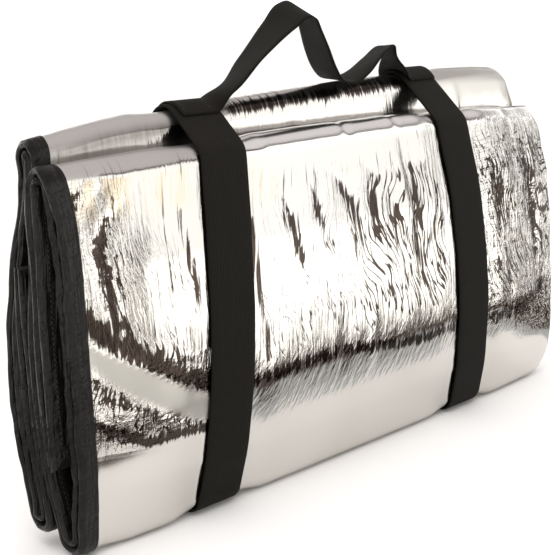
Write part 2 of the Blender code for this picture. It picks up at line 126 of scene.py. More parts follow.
# Depths of the bundle's front and back faces, and heights of its two top folds.
FACES = (
    # height, front_left, front_mid, front_right, back_left, back_mid, back_right
    (0.012, 0.0070,  0.0030, 0.0080, 0.0610, 0.0640, 0.0630),
    (0.045, 0.0040, -0.0060, 0.0030, 0.0670, 0.0705, 0.0710),
    (0.090, 0.0025, -0.0125, 0.0000, 0.0735, 0.0770, 0.0770),
    (0.145, 0.0030, -0.0140, 0.0000, 0.0775, 0.0800, 0.0780),
    (0.190, 0.0040, -0.0105, 0.0010, 0.0730, 0.0770, 0.0750),
    (0.245, 0.0075,  0.0000, 0.0080, 0.0580, 0.0640, 0.0650),
)
CRESTS = (
    # x, flap, crest
    (0.000, 0.2525, 0.2655),
    (0.056, 0.2555, 0.2745),
    (0.125, 0.2575, 0.2790),
    (0.195, 0.2585, 0.2820),
    (0.300, 0.2585, 0.2860),
    (0.390, 0.2575, 0.2885),
    (0.455, 0.2530, 0.2870),
    (0.510, 0.2500, 0.2830),
)
CORNER_TOP = 0.058  # how far the right end's top corner reaches
CORNER_LOW = (0.050, 0.032)  # and its bottom corner, along and up
CORNER_POWER = 3.0  # the top corner: 2 is a round one, and more is fuller
RIGHT_EDGE = (
    # height, how far the right end stands out
    (0.110,  0.0000),
    (0.160,  0.0012),
    (0.196, -0.0010),
    (0.216, -0.0034),
    (0.232,  0.0004),
    (0.262,  0.0000),
)
SKEW_EASE = 0.020  # the left edges ease from run to run over about this path
SKEW_END = 0.065  # and no longer shift the grid, so far from the left edge
CORNER_FROM = 0.413  # the grid is stretched to the right end from here on
TURN_STEPS = 10  # steps round the fold of the doubled sheet
ACROSS_STEPS = 140  # steps along the bundle in each of its two plies
LINING_STEP = 4  # the hidden black side has one point for so many of the foil's


# Where a form eases in or out: from where, and over what distance.
LEFT_SWELL = (0.0, 0.070)  # the left end's depths swell to the middle's
RIGHT_SWELL = (0.400, 0.105)  # and shrink again to the right end's
END_BLEND = (0.250, 0.150)  # the left end's depths give way to the right end's
STRAP_EASE = (0.021, 0.021)  # a strap's press, off its middle
TAPE_EASE = (0.008, 0.030)  # clear height under the edge tape, from the left edge
LOW_ZONE = (0.020, 0.044)  # the bottom folds, by height
HIGH_ZONE = (0.186, 0.045)  # the top folds, by height
EDGE_EASE = (0.012, 0.030)  # the padding thickens behind the edge tape
TOP_EASE = (0.012, 0.020)  # the flap's height to the crest's, by depth
PINCH = 0.0016  # how far a strap presses each face in
STRAP_PRESS = 0.0012  # how far it presses each top fold down
TAPE_CLEAR = 0.0002  # edge tape to surface
WEB_CLEAR = 0.0003  # strap to surface
PLY_SHARE = 0.050  # half the distance between plies, as a share of the depth
PLY_SHARE_FOLDS = 0.0125  # and so much more at the folds
LEVEL_LOW = 0.014  # where the bottom folds' radii are measured
LEVEL_HIGH = 0.245  # where the top folds' radii are measured
SINK_EASE = 0.001
FLAP_TOP = 0.252  # the flap's height at the right end
CREST_STEP = 0.033  # how far the crest stands above it
SLICES = (-0.015, 131)  # sections along the bundle: the first, and how many
LAST_STATION = 0.485  # the grid's last place before the turn, before it is stretched
LAST_SLICE = 0.020  # the turn's section, from the right end
TURN_ROOM = 0.006  # the grid's length left to the turn
# Places across the flat cloth: where the turn starts, half its length, and the far edge.
CLOTH_TURN, CLOTH_HALF_TURN, CLOTH_END = 0.497, 0.0085, 1.022


def smooth(t):
    """Ease from 0 to 1."""
    t = np.clip(t, 0.0, 1.0)
    return t * t * (3.0 - 2.0 * t)


def rise(value, start, over):
    """0 up to a start, then easing to 1 over a distance, the other way if it is negative."""
    return smooth((value - start) / over)


def fall(value, start, over):
    """1 up to a start, then easing to 0 over a distance."""
    return 1.0 - rise(value, start, over)


def hump(value, middle, width):
    """1 in the middle, fading on both sides."""
    return np.exp(-((value - middle) / width) ** 2)


def table(rows, at, column):
    """A reading of one column of a table, by its first column, straight between the rows."""
    rows = np.array(rows)
    return np.interp(at, rows[:, 0], rows[:, column])


def walked(points):
    """How far along a line each of its points lies."""
    return np.concatenate([[0.0], np.cumsum(np.linalg.norm(np.diff(points, axis=0), axis=1))])


def near_strap(x):
    """1 under a strap, easing to 0 a little way off to each side."""
    return fall(np.min([np.abs(x - middle) for middle in STRAPS.values()], axis=0), *STRAP_EASE)


def face_depths(x, z):
    """Front and back face of the whole bundle at a place along it and a height."""
    front_l, front_m, front_r, back_l, back_m, back_r = (
        table(FACES, z, k) for k in range(1, 7))
    mid = rise(x, *LEFT_SWELL) * fall(x, *RIGHT_SWELL)
    right = rise(x, *END_BLEND)
    front_end = front_l + (front_r - front_l) * right
    back_end = back_l + (back_r - back_l) * right
    pinch = PINCH * near_strap(x)
    return (front_end + (front_m - front_end) * mid + pinch,
            back_end + (back_m - back_end) * mid - pinch)


def nod(x, z):
    """How far the main crest is pulled forward."""
    return (NOD * fall(np.abs(x - STRAPS["strap_left"]), *STRAP_EASE)
            * rise(z, NOD_FROM, NOD_RISE))


def lift(x):
    """Clear height under the sheet: a strap passes there, or the edge tape does."""
    return np.maximum((WEB_GAP + WEB_THICK + WEB_CLEAR) * near_strap(x),
                      (TAPE_GAP + TAPE_THICK + TAPE_CLEAR) * fall(x, *TAPE_EASE))


def zones(z):
    """How much a height belongs to the bottom folds, and to the top folds."""
    return fall(z, *LOW_ZONE), rise(z, *HIGH_ZONE)


def run_depth(run, x, z):
    """Depth of one run of the double layer."""
    front, back = face_depths(x, z)
    low, high = zones(z)
    depth = (run.depth_mid + (run.depth_bottom - run.depth_mid) * low
             + (run.depth_top - run.depth_mid) * high)
    return front + depth * (back - front)


def ply_offset(x, z):
    """Half the distance between the two plies of the double layer."""
    front, back = face_depths(x, z)
    return (back - front) * (PLY_SHARE + PLY_SHARE_FOLDS * np.maximum(*zones(z)))


def thickness(x_from_edge):
    return THICK_EDGE + (THICK_MID - THICK_EDGE) * rise(x_from_edge, *EDGE_EASE)


def fold_level(x, fold, thick):
    """Height of a fold's centre of turn, so that its outside reaches the right height."""
    first = list(FOLDS).index(fold)
    level = np.full_like(x, LEVEL_LOW if fold.endswith("_low") else LEVEL_HIGH)
    radius = np.abs(run_depth(RUNS[first], x, level) - run_depth(RUNS[first + 1], x, level)) / 2.0
    reach = radius + ply_offset(x, level) + thick / 2.0
    if fold.endswith("_low"):
        clear = lift(x)
        if fold == "back_low":
            clear = np.maximum(clear, BACK_LIFT * fall(x, 0.0, BACK_LIFT_END))
        return clear + reach - SINK * fall(clear, 0.0, SINK_EASE)
    top = table(CRESTS, x, 1 if fold == "flap" else 2)
    return top - STRAP_PRESS * near_strap(x) - reach


def section(x, thick):
    """The double layer's centre line at every place of x: depth, height, left edge."""
    level = {fold: fold_level(x, fold, thick) for fold in FOLDS}
    ends = {
        "tucked": (HEM_TUCKED, level["flap"]), "front": (level["flap"], level["front_low"]),
        "second": (level["front_low"], level["crest"]),
        "back": (level["crest"], level["back_low"]), "fourth": (level["back_low"], HEM_FOURTH),
    }
    lines, parts = [], []
    for k, (run, fold) in enumerate(zip(RUNS, (*FOLDS, None))):
        start, stop = ends[run.name]
        heights = [start + (stop - start) * share for share in np.linspace(0.0, 1.0, run.steps + 1)]
        if run.name == "tucked":
            heights[1] = start + EDGE_CELL
        if run.name == "fourth":
            heights[-2] = stop - EDGE_CELL
        bottom, top = EDGE_LEVELS
        for z in heights:
            z = z + 0.0 * x
            edge = run.edge_low + (run.edge_high - run.edge_low) * rise(z, bottom, top - bottom)
            lines.append((run_depth(run, x, z), z, edge))
            parts.append(run.name)
        if fold:
            y0, y1 = run_depth(run, x, stop), run_depth(RUNS[k + 1], x, stop)
            radius, mid = (y1 - y0) / 2.0, (y0 + y1) / 2.0
            side = 1.0 if run.up else -1.0
            for n in range(1, FOLDS[fold]):
                turn = math.pi * n / FOLDS[fold]
                lines.append((mid - radius * math.cos(turn),
                              stop + side * np.abs(radius) * math.sin(turn), lines[-1][2]))
                parts.append(fold)
    lines = np.array(lines)
    pulled = [k for k, part in enumerate(parts) if part in ("second", "crest", "back")]
    lines[pulled, 0] -= nod(x, lines[pulled, 1])
    return lines, parts


def run_edges(line):
    """Left edge of the sheet at each point of a section, eased from run to run."""
    path = walked(line[:, :2])
    weight = hump(path[:, None], path[None, :], SKEW_EASE) * np.gradient(path)
    return weight @ line[:, 2] / np.sum(weight, axis=1)


def right_end(y, z):
    """How far the bundle reaches to the right at a depth and a height."""
    crest = FLAP_TOP + CREST_STEP * rise(y, *TOP_EASE)
    over = np.clip((z - crest + CORNER_TOP) / CORNER_TOP, 0.0, 1.0)
    under = np.clip((CORNER_LOW[1] - z) / CORNER_LOW[1], 0.0, 1.0)
    return (LENGTH - CORNER_TOP * (1.0 - (1.0 - over ** CORNER_POWER) ** (1.0 / CORNER_POWER))
            - CORNER_LOW[0] * (1.0 - np.sqrt(1.0 - under ** 2)) + table(RIGHT_EDGE, z, 1))


def normals(points, closed=False):
    """Normals along a line, lengthened at its bends so that offsets stay parallel."""
    if closed:
        points = np.concatenate([points[-1:], points, points[:1]])
    step = np.diff(points, axis=0)
    step /= np.linalg.norm(step, axis=1)[:, None]
    side = np.stack([-step[:, 1], step[:, 0]], axis=1)
    both = side[:-1] + side[1:]
    both /= (1.0 + np.sum(side[:-1] * side[1:], axis=1))[:, None]
    return both if closed else np.concatenate([side[:1], both, side[-1:]])


def lean(points):
    """Slump the bundle sideways: X shears with height."""
    out = np.array(points, dtype=float)
    x, z = out[..., 0].copy(), out[..., 2]
    out[..., 0] += (table(LEAN, x, 1) * (z - LEAN_LEVEL)
                    + table(LEAN, x, 2) * np.maximum(z - LEAN_TOP, 0.0))
    return out


def sheet_grid():
    """The doubled sheet's middle surface: points, facing, thickness, cloth place and run names.

    The grid's first index runs along the back-and-forth path. Its second runs from one ply's
    left edge to the fold at the right end and back to the other ply's left edge.
    """
    slices = np.linspace(SLICES[0], LENGTH, SLICES[1])
    lines, parts = section(slices, thickness(slices))
    across = normals(lines[:, :2])
    edges = run_edges(section(np.array([0.0]), THICK_EDGE)[0][:, :, 0])
    stations = np.concatenate([[0.0], np.linspace(EDGE_CELL, LAST_STATION, ACROSS_STEPS)])
    full, turn_at = LENGTH - TURN_ROOM, LENGTH - LAST_SLICE
    points, faces, thick, cloth = [], [], [], []
    last = len(edges) - 1
    v = 0.0
    for i, edge in enumerate(edges):
        y, z = (np.interp(turn_at, slices, lines[i, k]) for k in (0, 1))
        end = right_end(y, z) - ply_offset(turn_at, z) - THICK_MID / 2.0
        x = stations + edge * fall(stations, EDGE_CELL, SKEW_END - EDGE_CELL)
        over = x > CORNER_FROM
        x[over] = CORNER_FROM + (x[over] - CORNER_FROM) * (end - CORNER_FROM) / (full - CORNER_FROM)
        turn = np.linspace(0.0, math.pi, TURN_STEPS + 1)
        xs = np.concatenate([x, np.full(len(turn), end), x[::-1]])
        turns = np.concatenate([0.0 * x, turn, 0.0 * x + math.pi])
        y, z, ny, nz = (np.interp(xs, slices, row) for row in (*lines[i, :2], *across[i]))
        off = ply_offset(xs, z)
        cosine, sine = np.cos(turns), np.sin(turns)
        points.append(np.stack([xs + off * sine, y + ny * off * cosine,
                                z + nz * off * cosine], axis=1))
        faces.append(np.stack([sine, ny * cosine, nz * cosine], axis=1))
        press = smooth((min(i, last - i) - 1) / 2.0)
        padding = np.concatenate([thickness(stations), np.full(len(turn), THICK_MID),
                                  thickness(stations)[::-1]])
        thick.append(THICK_EDGE + (padding - THICK_EDGE) * press)
        if i:
            v += float(np.median(np.linalg.norm(points[-1] - points[-2], axis=1)))
        u = np.concatenate([stations, CLOTH_TURN + CLOTH_HALF_TURN * turn / math.pi * 2.0,
                            CLOTH_END - stations[::-1]])
        cloth.append(np.stack([u, 0.0 * u + v], axis=1))
    return np.array(points), np.array(faces), np.array(thick), np.array(cloth), parts


# ---- shader maths --------------------
class Term:
    """A shader value that Python's operators work on."""

    def __init__(self, nodes, socket):
        self.nodes, self.socket = nodes, socket

    def maths(self, operation, *values):
        return self.nodes.add("ShaderNodeMath", {"operation": operation}, dict(enumerate(values)))

    def __add__(self, other):
        return self.maths("ADD", self, other)

    def __sub__(self, other):
        return self.maths("SUBTRACT", self, other)

    def __rsub__(self, other):
        return self.maths("SUBTRACT", other, self)

    def __mul__(self, other):
        return self.maths("MULTIPLY", self, other)

    def __truediv__(self, other):
        return self.maths("DIVIDE", self, other)

    __radd__ = __add__
    __rmul__ = __mul__

    def abs(self):
        return self.maths("ABSOLUTE", self)

    def clamp(self):
        return self.nodes.add("ShaderNodeClamp", {}, {0: self})

    def step(self, low, high):
        """Ease from 0 at low to 1 at high."""
        return self.nodes.add("ShaderNodeMapRange", {"interpolation_type": "SMOOTHSTEP"},
                              {0: self, 1: low, 2: high})

    def line(self, half, gone):
        """1 along the lines where a noise has its middle value, fading to 0 on both sides."""
        return 1.0 - (self - 0.5).abs().step(half, gone)

    def wave(self, pitch):
        """A wave from 0 to 1 and back over each pitch."""
        return self.maths("SINE", self * 2.0 * math.pi / pitch) * 0.5 + 0.5

    def zigzag(self):
        """0.5 at each whole number, and 0 half way between them."""
        return (self.maths("FRACT", self) - 0.5).abs()


class Nodes:
    """A node tree that is built from terms."""

    def __init__(self, tree):
        self.tree = tree

    def set(self, node, inputs):
        for key, value in inputs.items():
            if isinstance(value, Term):
                self.tree.links.new(value.socket, node.inputs[key])
            else:
                node.inputs[key].default_value = value

    def add(self, kind, settings, inputs, out=0):
        """A node: its settings first, a ramp's stops among them, and then its sockets."""
        node = self.tree.nodes.new(kind)
        for key, value in settings.items():
            if key != "stops":
                setattr(node, key, value)
        for k, (at, colour) in enumerate(settings.get("stops", ())):
            stops = node.color_ramp.elements
            stop = stops[k] if k < 2 else stops.new(at)
            stop.position, stop.color = at, (*colour, 1.0)
        self.set(node, inputs)
        return Term(self, node.outputs[out]) if node.outputs else None


class Finish(Nodes):
    """One material. Fixed and varying values are named after the shader's sockets."""

    def __init__(self, name, **fixed):
        self.material = bpy.data.materials.new(name)
        self.material.use_nodes = True
        super().__init__(self.material.node_tree)
        self.finish(**fixed)

    def values(self, name):
        """A number that the mesh carries at each point."""
        return self.add("ShaderNodeAttribute", {"attribute_name": name}, {}, out="Fac")

    def place(self):
        """Where a point lies on the flat cloth, in metres, as two terms."""
        uv = self.add("ShaderNodeUVMap", {"uv_map": "cloth"}, {})
        return [self.add("ShaderNodeSeparateXYZ", {}, {0: uv}, out) for out in (0, 1)]

    def noise(self, x, y, detail=2.0, roughness=0.5, scale=1.0):
        """A noise pattern, in waves per unit of x and y."""
        vector = self.add("ShaderNodeCombineXYZ", {}, {0: x, 1: y, 2: 0.0})
        return self.add("ShaderNodeTexNoise", {}, {"Vector": vector, "Scale": scale,
                                                   "Detail": detail, "Roughness": roughness})

    def mix(self, factor, low, high):
        """A colour between two. Each is a term, or red, green and blue."""
        low, high = (c if isinstance(c, Term) else (*c, 1.0) for c in (low, high))
        return self.add("ShaderNodeMix", {"data_type": "RGBA"}, {0: factor, 6: low, 7: high}, out=2)

    def bump(self, height, depth):
        return self.add("ShaderNodeBump", {},
                        {"Height": height, "Distance": depth, "Strength": 1.0})

    def finish(self, **values):
        self.set(self.tree.nodes["Principled BSDF"],
                 {key.replace("_", " "): value for key, value in values.items()})
        return self.material


FOIL = ((0.665, 0.645, 0.610), (0.615, 0.592, 0.552))  # it varies between these
PAINTED_GLINT_GOLD = (0.72, 0.56, 0.34)  # painted glints, warm
PAINTED_WARM_SHADE = (0.052, 0.036, 0.027)  # painted shade under the crest's left top
# painted reflection: the smooth strip's pale grey
PAINTED_PALE_REFLECTION = (0.520, 0.505, 0.465)
PAINTED_HIGHLIGHT_FOIL = (0.950, 0.938, 0.915)  # painted highlight along the flap's top
# painted shade and dark reflections, brown, in the creases, streaks and bands
PAINTED_SHADE_BROWN = (0.030, 0.018, 0.012)
TAPE_THREAD = 0.00085  # pitch of the tape's threads
TAPE_STITCH = 0.0034  # pitch of its stitches
TAPE_ROW = 0.0078  # its row of stitches, from its middle line
WEB_RIB = 0.00125  # pitch of the webbing's ribs
WEB_TWILL = (0.0016, 0.0025)  # pitch of its weft, along and across
WEB_STITCH = 0.0030  # pitch of the stitches that sew the handle down


def foil_finish():
    """Crinkled metallised film: nearly a mirror, with hair-fine creases down the cloth, and with
    shade, dark reflections, glints and a highlight painted into its colour.

    Patterns are in waves per metre: across the cloth, and then down it.
    """
    foil = Finish("foil", Metallic=1.0)
    u, v = foil.place()
    crinkle, cross, low = (foil.values(name) for name in ("crinkle", "cross", "low"))
    wander = foil.noise(u * 14.0, v * 9.0)
    hairs = foil.noise(u * 420.0 + wander * 7.0, v * 24.0, 3.0, 0.6)
    ribs = foil.noise(u * 120.0 + wander * 4.0, v * 8.0)
    weft = foil.noise(u * 100.0, v * 170.0 + wander * 6.0, 3.0, 0.55)
    slant = foil.noise((u * 0.86 - v * 0.50) * 300.0 + wander * 5.0,
                       (u * 0.50 + v * 0.86) * 78.0, 2.0, 0.55)
    grain = foil.noise(u, v, scale=900.0)
    facets = foil.noise(u * 215.0 + wander * 12.0, v * 46.0)
    kinks = foil.noise(u * 62.0 + wander * 5.0, v * 215.0 - u * 30.0)
    folds = (facets.line(0.010, 0.044) + kinks.line(0.006, 0.024) * 0.55) * cross
    seams = foil.noise(u * 185.0 + v * 25.0 + wander * 15.0, v * 22.0)
    seams = seams.line(0.012, 0.052) * foil.values("dense")
    height = hairs * 0.25 + ribs * 0.40 + weft * cross * 0.26 + grain * 0.020
    height = height * (crinkle * 0.94 + 0.06) + slant * low * 0.24 - folds * 0.12 - seams * 0.10
    # Dark streaks, crease lines and bands are painted shade and painted dark reflections in the
    # colour.
    painted_streaks = hairs.step(0.59, 0.64) * ribs.step(0.48, 0.56) * crinkle * 0.80
    dark = (foil.values("painted_shade") * 1.6 + (hairs - 0.5) * 1.9 + (ribs - 0.5) * 0.3
            + (slant - 0.5) * low * 1.3 + (weft - 0.5) * cross * 2.0
            + folds * 0.74 + seams * 1.10).step(0.60, 0.92) + painted_streaks
    glint = foil.values("glint") * (ribs + hairs * 0.6).step(0.72, 0.92)
    colour = foil.mix(foil.noise(u * 9.0, v * 5.0, 1.0).step(0.35, 0.75), *FOIL)
    # Painted light in the colour: glints, shade under the crest, the strip's pale reflection, a
    # highlight on the flap's top, and dark shade and reflections.
    for share, mark in ((glint * 0.55, PAINTED_GLINT_GOLD),
                        (foil.values("shade") * (0.40 + hairs * 0.5), PAINTED_WARM_SHADE),
                        (foil.values("painted_reflection_strip"), PAINTED_PALE_REFLECTION), (foil.values("bright"), PAINTED_HIGHLIGHT_FOIL),
                        (dark.clamp() * 0.96, PAINTED_SHADE_BROWN)):
        colour = foil.mix(share, colour, mark)
    roughness = 0.10 + grain * 0.06 + crinkle * 0.03 + foil.values("rubbed") * 0.24
    return foil.finish(Base_Color=colour, Roughness=roughness, Normal=foil.bump(height, 0.0017))


def lining_finish():
    """The black backing on the padding's other side."""
    lining = Finish("lining", Specular_IOR_Level=0.3)
    fuzz = lining.noise(*lining.place(), scale=1400.0)
    colour = lining.mix(fuzz, (0.010, 0.010, 0.011), (0.022, 0.021, 0.021))
    return lining.finish(Base_Color=colour, Roughness=0.75 + fuzz * 0.2,
                         Normal=lining.bump(fuzz, 0.0001))


def tape_finish():
    """Black satin tape with one row of stitching near its inner edge."""
    tape = Finish("edge_tape", Specular_IOR_Level=0.22)
    u, v = tape.place()
    pucker = tape.noise(u * 150.0 + v * 60.0, v * 55.0, 3.0, 0.6)
    drawn = tape.noise(u * 38.0 + v * 40.0, v * 330.0)
    on_row = 1.0 - (v.abs() - TAPE_ROW).abs().step(0.00025, 0.00055)
    dash = (u / TAPE_STITCH).zigzag().step(0.40, 0.34)
    stitch, groove = on_row * dash, on_row * (1.0 - dash)
    colour = tape.mix(pucker, (0.0030, 0.0024, 0.0018), (0.0084, 0.0070, 0.0054))
    colour = tape.mix(stitch, colour, (0.014, 0.013, 0.012))
    height = (u.wave(TAPE_THREAD) * 0.05 + pucker * 2.8 + drawn * 3.4 + stitch * 0.4
              - groove * 0.5)
    return tape.finish(Base_Color=colour, Roughness=0.24 + pucker * 0.12,
                       Normal=tape.bump(height, 0.0006))


def webbing_finish(name, rows=()):
    """Matt black woven webbing: fine ribs along its length, crossed by the weft.

    Rows are places along it where stitches run across.
    """
    web = Finish(name, Specular_IOR_Level=0.10, Sheen_Weight=0.02, Sheen_Roughness=0.5)
    u, v = web.place()
    ribs = v.wave(WEB_RIB)
    twill = (u / WEB_TWILL[0] + v / WEB_TWILL[1]).zigzag() * 2.0
    slub = web.noise(u * 60.0, v * 900.0, 3.0)
    height = ribs * 0.6 + twill * ribs * 0.6 + slub * 0.25
    colour = web.mix(height.clamp(), (0.0038, 0.0031, 0.0021), (0.0104, 0.0088, 0.0062))
    for row in rows:
        near = 1.0 - (u - row).abs().step(0.00035, 0.00075)
        inside = 1.0 - v.abs().step(0.0160, 0.0165)
        thread = near * inside * (v / WEB_STITCH).zigzag().step(0.44, 0.36)
        colour = web.mix(thread, colour, (0.017, 0.015, 0.012))
        height = height + thread * 0.9 - near * inside * 0.7
    return web.finish(Base_Color=colour, Roughness=0.72 + slub * 0.18,
                      Normal=web.bump(height, 0.00028))


# ---- pieces --------------------
def make_piece(name, verts, quads, materials, cloth, slots=None, values=None):
    """One object from points and faces, facing outward, with its place on the cloth as UVs."""
    mesh = bpy.data.meshes.new(name)
    mesh.from_pydata([tuple(p) for p in np.asarray(verts) + PLACE], [], quads)
    for material in materials:
        mesh.materials.append(material)
    if slots is not None:
        mesh.polygons.foreach_set("material_index", slots)
    layer = mesh.uv_layers.new(name="cloth")
    corners = np.empty(len(mesh.loops), dtype=np.int32)
    mesh.loops.foreach_get("vertex_index", corners)
    layer.data.foreach_set("uv", np.asarray(cloth)[corners].astype(np.float32).ravel())
    for key, numbers in (values or {}).items():
        data = mesh.attributes.new(key, "FLOAT", "POINT")
        data.data.foreach_set("value", np.asarray(numbers, dtype=np.float32))
    shell = bmesh.new()
    shell.from_mesh(mesh)
    bmesh.ops.recalc_face_normals(shell, faces=shell.faces)
    shell.to_mesh(mesh)
    shell.free()
    mesh.shade_smooth()
    piece = bpy.data.objects.new(name, mesh)
    bpy.context.scene.collection.objects.link(piece)
    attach(piece, "root")
    return piece


def band_faces(count, size, closed=True):
    """Faces of a band: so many sections of so many points each."""
    return [(k * size + m, k * size + (m + 1) % size,
             (k + 1) % count * size + (m + 1) % size, (k + 1) % count * size + m)
            for k in range(count if closed else count - 1) for m in range(size)]


def make_sheet(points, faces, thick, cloth, creases, marks):
    """The doubled sheet: foil outside with its creases, black lining inside."""
    rows, cols = thick.shape
    half = faces * (thick / 2.0)[..., None]
    outer = points + half + faces * creases[..., None]
    outer[..., 2] = np.maximum(outer[..., 2], 0.0)
    few_rows = sorted({*range(0, rows, LINING_STEP), 1, rows - 2, rows - 1})
    few_cols = sorted({*range(0, cols, LINING_STEP), 1, cols - 2, cols - 1})
    inner = (points - half)[np.ix_(few_rows, few_cols)]
    verts = np.vstack([outer.reshape(-1, 3), inner.reshape(-1, 3)])
    uvs = np.vstack([cloth.reshape(-1, 2), cloth[np.ix_(few_rows, few_cols)].reshape(-1, 2)])
    base, wide = rows * cols, len(few_cols)
    quads = [(i * cols + j, i * cols + j + 1, (i + 1) * cols + j + 1, (i + 1) * cols + j)
             for i in range(rows - 1) for j in range(cols - 1)]
    slots = [0] * len(quads)
    for i in range(len(few_rows) - 1):
        for j in range(wide - 1):
            here = base + i * wide + j
            quads.append((here, here + wide, here + wide + 1, here + 1))
    rim = ([(0, j) for j in range(cols)] + [(i, cols - 1) for i in range(1, rows)]
           + [(rows - 1, j) for j in range(cols - 2, -1, -1)]
           + [(i, 0) for i in range(rows - 2, 0, -1)])
    under = {(i, j): base + a * wide + b for a, i in enumerate(few_rows)
             for b, j in enumerate(few_cols)}
    run = [rim[0]]
    for place in rim[1:] + rim[:1]:
        run.append(place)
        if place in under:
            quads.append((*(i * cols + j for i, j in run[::-1]), under[run[0]], under[place]))
            run = [place]
    slots += [1] * (len(quads) - len(slots))
    on_lining = np.zeros(len(verts) - base)
    values = {name: np.concatenate([share.ravel(), on_lining]) for name, share in marks.items()}
    piece = make_piece("foil_sheet", lean(verts), quads, [foil_finish(), lining_finish()],
                       uvs, slots, values)
    return piece, outer


def line_distance(x, z, line):
    """Distance of each place from a line of (x, z) points, and how far along it, 0 to 1."""
    line = np.array(line, dtype=float)
    best, along = np.full(x.shape, 9.0), np.zeros(x.shape)
    for k, (a, b) in enumerate(zip(line[:-1], line[1:])):
        d = b - a
        t = np.clip(((x - a[0]) * d[0] + (z - a[1]) * d[1]) / (d @ d), 0.0, 1.0)
        far = np.hypot(x - a[0] - t * d[0], z - a[1] - t * d[1])
        closer = far < best
        best[closer], along[closer] = far[closer], ((k + t) / (len(line) - 1))[closer]
    return best, along


# Creases of the front: where they run, how wide, and how high or deep.
CREASES = (
    # width, height, ((x, z), ...)
    (0.0045,  0.0016, ((0.040, 0.238), (0.018, 0.214), (0.003, 0.202))),
    (0.0035, -0.0009, ((0.034, 0.242), (0.014, 0.222), (0.002, 0.213))),
    (0.0035, -0.0009, ((0.046, 0.232), (0.030, 0.214), (0.012, 0.192), (0.002, 0.186))),
    (0.0040,  0.0015, ((0.030, 0.224), (0.020, 0.205), (0.006, 0.180))),
    (0.0050, -0.0022, ((0.027, 0.222), (0.022, 0.194), (0.027, 0.170), (0.030, 0.142))),
    (0.0070,  0.0020, ((0.012, 0.200), (0.010, 0.172), (0.017, 0.150))),
    (0.0050, -0.0014, ((0.080, 0.216), (0.083, 0.190), (0.087, 0.158), (0.088, 0.124))),
    (0.0060, -0.0022, ((0.137, 0.203), (0.139, 0.154), (0.143, 0.133), (0.146, 0.105))),
    (0.0045, -0.0010, ((0.166, 0.222), (0.173, 0.190), (0.183, 0.152))),
    (0.0050, -0.0012, ((0.192, 0.234), (0.201, 0.196), (0.209, 0.166))),
    (0.0070, -0.0014, ((0.214, 0.232), (0.235, 0.200), (0.241, 0.164))),
    (0.0055, -0.0012, ((0.258, 0.224), (0.257, 0.196), (0.255, 0.162))),
    (0.0050, -0.0011, ((0.274, 0.212), (0.278, 0.178), (0.281, 0.144))),
    (0.0060, -0.0013, ((0.304, 0.230), (0.306, 0.198), (0.308, 0.166))),
    (0.0065, -0.0013, ((0.297, 0.182), (0.304, 0.154), (0.311, 0.122))),
    (0.0040,  0.0009, ((0.246, 0.228), (0.262, 0.196), (0.267, 0.154))),
    (0.0040,  0.0009, ((0.289, 0.232), (0.293, 0.190), (0.301, 0.144))),
    (0.0070, -0.0026, ((0.405, 0.215), (0.410, 0.185), (0.408, 0.150))),
    (0.0060,  0.0020, ((0.425, 0.232), (0.428, 0.190), (0.440, 0.150))),
    (0.0080, -0.0024, ((0.452, 0.225), (0.462, 0.190), (0.470, 0.150), (0.476, 0.118))),
)


CREASE_ENDS = 0.22  # how wide and high a crease's ends are, as a share of its middle
SHADED_FROM = -0.00095  # a crease deeper than this gets painted brown shade
SHADE_OF_CREASE = 0.66
RIPPLES = 150  # shallow troughs and ridges, scattered over the foil
# Bands of painted shade and dark reflections down the front, where its fine creases crowd together.
PAINTED_SHADE_BANDS = (
    # strength, half width, ((x, z), ...)
    (0.62, 0.0075, ((0.132, 0.092), (0.183, 0.094), (0.214, 0.095),
                    (0.286, 0.084), (0.353, 0.082))),
    (0.52, 0.0080, ((0.400, 0.081), (0.455, 0.080), (0.485, 0.095))),
    (0.74, 0.0085, ((0.001, 0.162), (0.021, 0.146), (0.041, 0.130),
                    (0.066, 0.115), (0.097, 0.099))),
    (0.40, 0.0075, ((0.008, 0.116), (0.035, 0.097), (0.060, 0.086), (0.095, 0.077))),
    (0.74, 0.0050, ((0.002, 0.098), (0.017, 0.086), (0.045, 0.071),
                    (0.064, 0.073), (0.096, 0.069))),
    (0.66, 0.0042, ((0.137, 0.203), (0.139, 0.154), (0.143, 0.133), (0.146, 0.105))),
    (0.74, 0.0042, ((0.029, 0.218), (0.023, 0.200), (0.026, 0.176), (0.029, 0.146))),
    (0.66, 0.0052, ((0.004, 0.176), (0.012, 0.158), (0.022, 0.152), (0.032, 0.152))),
    (0.66, 0.0024, ((0.080, 0.218), (0.082, 0.196), (0.086, 0.158), (0.088, 0.124))),
    (0.60, 0.0026, ((0.012, 0.236), (0.006, 0.214), (0.010, 0.192))),
    (0.30, 0.0120, ((0.322, 0.204), (0.332, 0.162), (0.340, 0.118))),
    (0.30, 0.0100, ((0.476, 0.222), (0.484, 0.180), (0.488, 0.120))),
)
# A smooth, uncrinkled strip that sweeps down to the left strap, and its half width. At its
# left end it is narrower by STRIP_NARROWS, which eases out over a share of its length.
SMOOTH_STRIP = ((-0.002, 0.146), (0.021, 0.127), (0.041, 0.112), (0.066, 0.096), (0.100, 0.080))
STRIP_HALF = 0.0100
STRIP_NARROWS = 0.0050
STRIP_EASE = 0.55
STRIP_END = 0.120
OFF_FRONT = 9.0  # a distance from the strip for all that isn't the front
